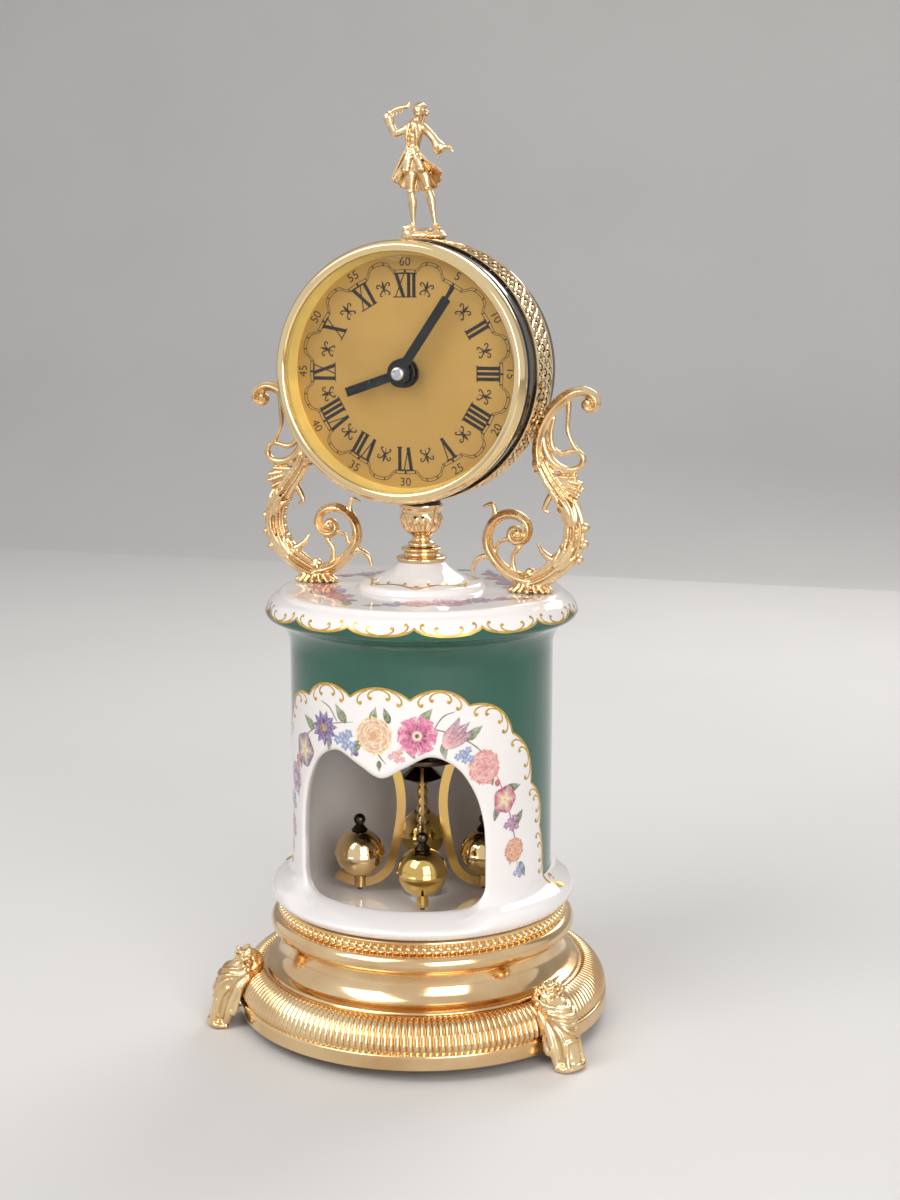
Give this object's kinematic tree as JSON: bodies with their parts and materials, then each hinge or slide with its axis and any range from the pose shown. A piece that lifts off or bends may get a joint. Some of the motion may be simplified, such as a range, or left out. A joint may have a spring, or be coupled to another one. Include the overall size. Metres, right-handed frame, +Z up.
{
  "type": "mantel clock",
  "caption": "Mantel clock: round quartz head with a figurine on a gilt stem, over a porcelain drum with a heart-topped window onto a revolving ball pendulum, on a fluted gilt base with feet.",
  "frame": {"origin": "on the clock's vertical axis at table level, under the middle of the base", "axes": "+Z up, the dial and window face -Y, +X to the viewer's right"},
  "size_m": [0.16, 0.1637, 0.3609],
  "materials": {
    "gilt_polished": "polished gilt brass",
    "gilt_cast": "cast and gilt, bright on the high spots",
    "porcelain_glaze": "glossy glaze, green ground with white panels, gold lines and painted flowers",
    "case_black": "gloss black lacquer",
    "dial_gold": "satin gold with black printing",
    "bezel_gold": "polished gold",
    "reflector_gold": "pale satin gold",
    "clear_glass": "clear domed glass",
    "hand_black": "satin black",
    "bright_steel": "bright zinc plated",
    "movement_plastic": "black moulded plastic",
    "cell_jacket": "plain foil jacket",
    "ball_brass": "polished lacquered brass",
    "canopy_dark": "dark bronze lacquer",
    "arm_brass": "polished sheet brass"
  },
  "bodies": {
    "clock_body": {"fluted_band": "gilt_polished", "base_plinth": "gilt_polished", "plinth_plate": "gilt_polished", "bead_gallery": "gilt_polished", "foot_front_left": "gilt_cast", "foot_front_right": "gilt_cast", "foot_rear": "gilt_cast", "foot_screws": "bright_steel", "floor_bolt": "bright_steel", "floor_washer": "bright_steel", "floor_nut": "bright_steel", "porcelain_body": "porcelain_glaze", "stem_collar": "gilt_polished", "stem_vase": "gilt_cast", "head_saddle": "case_black", "tie_rod": "bright_steel", "tie_washer": "bright_steel", "tie_nuts": "bright_steel", "handle_left": "gilt_cast", "handle_right": "gilt_cast", "handle_screws": "bright_steel", "head_case": "case_black", "filigree_band": "gilt_cast", "bezel": "bezel_gold", "crystal": "clear_glass", "reflector_ring": "reflector_gold", "dial": "dial_gold", "movement_case": "movement_plastic", "movement_cell": "cell_jacket", "bush_nut": "hand_black", "back_cover": "case_black", "back_screws": "bright_steel", "figurine": "gilt_cast", "figurine_screw": "bright_steel", "drive_bracket": "bright_steel", "drive_housing": "movement_plastic", "drive_cover": "movement_plastic", "drive_cell": "cell_jacket", "bracket_screws": "bright_steel"},
    "pendulum": {"drive_shaft": "bright_steel", "pendulum_hub": "canopy_dark", "pendulum_spindle": "ball_brass", "pendulum_canopy": "canopy_dark", "ball_caps": "canopy_dark", "pendulum_arm_1": "arm_brass", "pendulum_arm_2": "arm_brass", "pendulum_arm_3": "arm_brass", "pendulum_arm_4": "arm_brass", "pendulum_ball_1": "ball_brass", "pendulum_ball_2": "ball_brass", "pendulum_ball_3": "ball_brass", "pendulum_ball_4": "ball_brass"},
    "minute_train": {"minute_arbor": "bright_steel", "minute_hand": "hand_black", "hand_nut": "bright_steel", "set_knob": "movement_plastic"},
    "hour_train": {"hour_pipe": "ball_brass", "hour_hand": "hand_black"}
  },
  "joints": [
    {"name": "pendulum_spin", "type": "hinge", "parent": "clock_body", "child": "pendulum", "pos_m": [0, 0, 0.11], "axis": [0, 0, 1], "range_deg": [-170, 170]},
    {"name": "minute_turn", "type": "hinge", "parent": "clock_body", "child": "minute_train", "pos_m": [0, 0, 0.2593], "axis": [0, 1, 0], "continuous": true},
    {"name": "hour_turn", "type": "hinge", "parent": "clock_body", "child": "hour_train", "pos_m": [0, 0, 0.2593], "axis": [0, 1, 0], "continuous": true}
  ],
  "couplings": [
    {"joint": "hour_turn", "follows": "minute_turn", "ratio": 0.083333}
  ]
}
